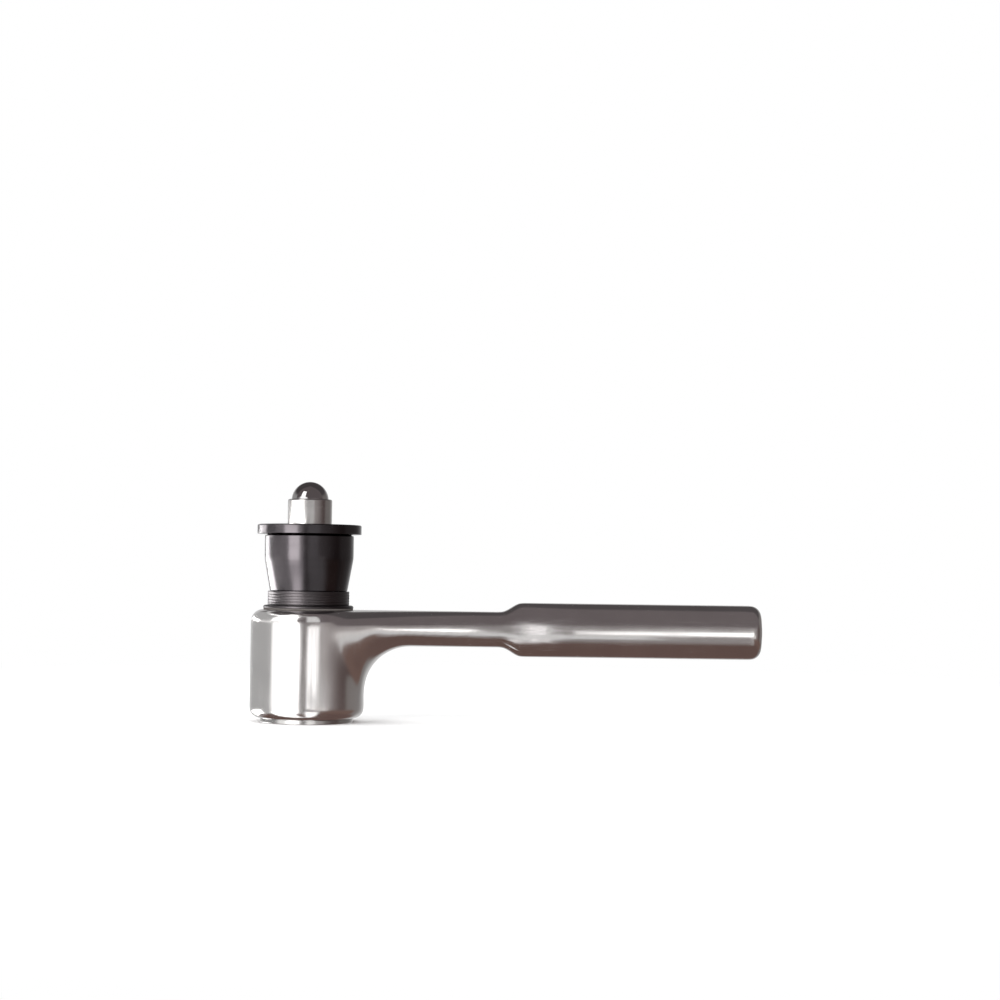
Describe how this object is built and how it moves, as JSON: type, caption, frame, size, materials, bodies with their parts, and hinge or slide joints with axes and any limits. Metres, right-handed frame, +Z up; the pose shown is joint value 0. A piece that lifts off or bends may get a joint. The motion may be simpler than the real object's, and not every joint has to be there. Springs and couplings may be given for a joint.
{
  "type": "hammer-blow hardness tester",
  "caption": "Shear-pin hardness tester struck by a hammer: a test head with a striking ball and an indenter ball stands in a round holder with a long handle.",
  "frame": {"origin": "on the head's axis in the plane of the sole, under the indenter ball", "axes": "+X along the handle, +Z up the test head's axis towards the striking ball"},
  "size_m": [0.2195, 0.049, 0.1032],
  "materials": {
    "holder_metal": "polished light-alloy casting",
    "sole_steel": "ground hardened steel",
    "screw_steel": "plain steel screws",
    "black_steel": "black-oxide turned steel",
    "bright_steel": "ground bright steel",
    "polished_steel": "polished hardened steel ball",
    "carbide": "polished tungsten carbide ball",
    "bronze": "turned bronze",
    "spring_steel": "oiled spring steel",
    "rubber": "black rubber",
    "buffer_polyurethane": "amber polyurethane",
    "gasket_fibre": "pressed fibre"
  },
  "bodies": {
    "holder": {"holder_body": "holder_metal", "grip_plug": "holder_metal", "sole_ring": "sole_steel", "sole_screws": "screw_steel", "bore_liner": "bronze", "seat_gasket": "gasket_fibre"},
    "test_head": {"barrel": "black_steel", "guide_screw": "screw_steel", "barrel_o_ring": "rubber", "rod_bush": "bronze", "spring_washer": "spring_steel", "bush_circlip": "spring_steel", "return_spring": "spring_steel", "buffer_ring": "buffer_polyurethane", "cup_sleeve": "black_steel", "cap_flange": "black_steel", "striker_bush": "bronze", "wiper_ring": "rubber"},
    "pin_ring": {"pin_ring": "black_steel"},
    "load_train": {"striker": "bright_steel", "striking_ball": "polished_steel", "load_sleeve": "bright_steel", "sleeve_cross_pin": "bright_steel", "indenter_rod": "bright_steel", "indenter_ball": "carbide", "ball_cap": "black_steel"},
    "shear_pin": {"shear_pin": "bright_steel"}
  },
  "joints": [
    {"name": "head_lift", "type": "slide", "parent": "holder", "child": "test_head", "axis": [0, 0, 1], "range_m": [0, 0.07]},
    {"name": "ring_turn", "type": "hinge", "parent": "test_head", "child": "pin_ring", "pos_m": [0, 0, 0.053], "axis": [0, 0, 1], "range_deg": [0, 90]},
    {"name": "strike_slide", "type": "slide", "parent": "test_head", "child": "load_train", "axis": [0, 0, -1], "range_m": [0, 0.002], "stiffness_N_per_m": 2000, "springref_m": -0.004, "deforming": ["return_spring"]},
    {"name": "pin_slide", "type": "slide", "parent": "load_train", "child": "shear_pin", "axis": [-1, 0, 0], "range_m": [0, 0.04]}
  ]
}
